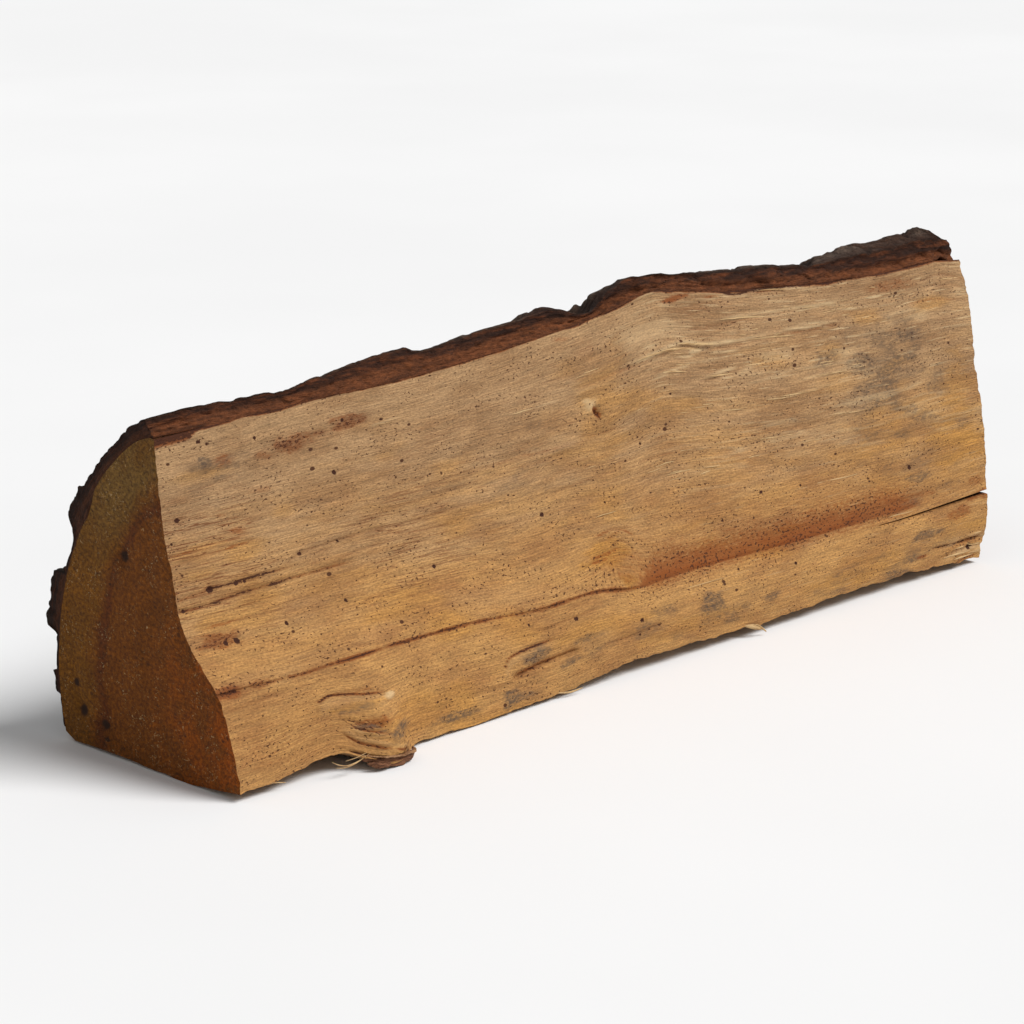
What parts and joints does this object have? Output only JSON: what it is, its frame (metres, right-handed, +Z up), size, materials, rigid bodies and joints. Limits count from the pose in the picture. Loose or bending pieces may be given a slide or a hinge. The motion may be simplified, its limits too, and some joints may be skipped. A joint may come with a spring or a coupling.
{
  "type": "split log",
  "caption": "Stove-length wedge of firewood split from a round log, with a sawn face at each end and bark left along its rounded back.",
  "frame": {"origin": "middle of the footprint, at the height of the surface the log lies on", "axes": "+X along the grain from one sawn end to the other, -Y out of the tall split face, +Y towards the bark, +Z up"},
  "size_m": [0.33, 0.093, 0.1134],
  "materials": {
    "split_wood": "dry split grain, unfinished",
    "bark": "rough flaking bark"
  },
  "bodies": {
    "root": {"split_wood": "split_wood", "bark": "bark"}
  },
  "joints": []
}
